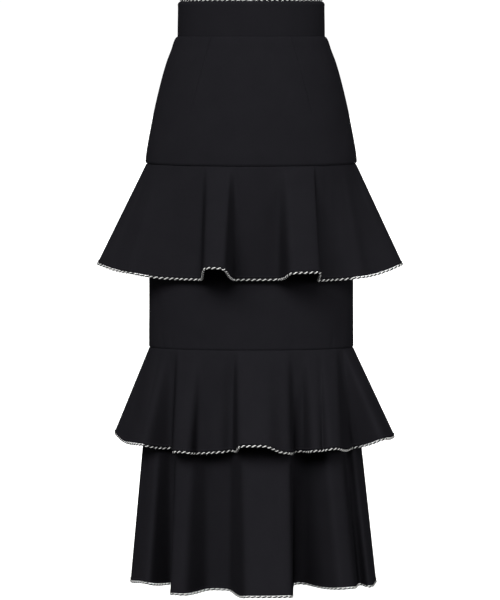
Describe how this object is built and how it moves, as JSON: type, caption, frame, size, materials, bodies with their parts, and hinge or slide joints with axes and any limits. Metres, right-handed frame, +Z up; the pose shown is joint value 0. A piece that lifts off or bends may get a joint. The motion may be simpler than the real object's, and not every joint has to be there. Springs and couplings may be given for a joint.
{
  "type": "tiered ruffled midi skirt",
  "caption": "Long narrow skirt with a tall waistband, darted hip panel, tiers of rippled flounces and a two-colour twisted cord along the waist and every hem.",
  "frame": {"origin": "middle of the waist opening, halfway up the waistband, where the wearer's waist holds the skirt", "axes": "+Z up along the body; the front faces -Y; +X is the wearer's left, which is on the right when the front is looked at"},
  "size_m": [0.4855, 0.4012, 0.9324],
  "materials": {
    "crepe": "matte fine-grained black crepe",
    "twisted_cord": "one white and one black ply twisted together",
    "zip_tape": "black woven zip tape with nylon coil",
    "zip_enamel": "black lacquered zinc, satin"
  },
  "bodies": {
    "garment": {"waistband_front": "crepe", "waistband_back_left": "crepe", "waistband_back_right": "crepe", "hip_front": "crepe", "hip_back_left": "crepe", "hip_back_right": "crepe", "middle_front": "crepe", "middle_back": "crepe", "flounce_upper_front": "crepe", "flounce_upper_back": "crepe", "flounce_middle_front": "crepe", "flounce_middle_back": "crepe", "flounce_bottom_front": "crepe", "flounce_bottom_back": "crepe", "waist_cord": "twisted_cord", "hem_cord_upper": "twisted_cord", "hem_cord_middle": "twisted_cord", "hem_cord_bottom": "twisted_cord", "zip_tape_left": "zip_tape", "zip_tape_right": "zip_tape", "zip_slider": "zip_enamel"},
    "zip_pull": {"zip_pull": "zip_enamel"}
  },
  "joints": [
    {"name": "pull_hinge", "type": "hinge", "parent": "garment", "child": "zip_pull", "pos_m": [0, 0.093, 0.0168], "axis": [1, 0, 0], "range_deg": [0, 150]}
  ]
}
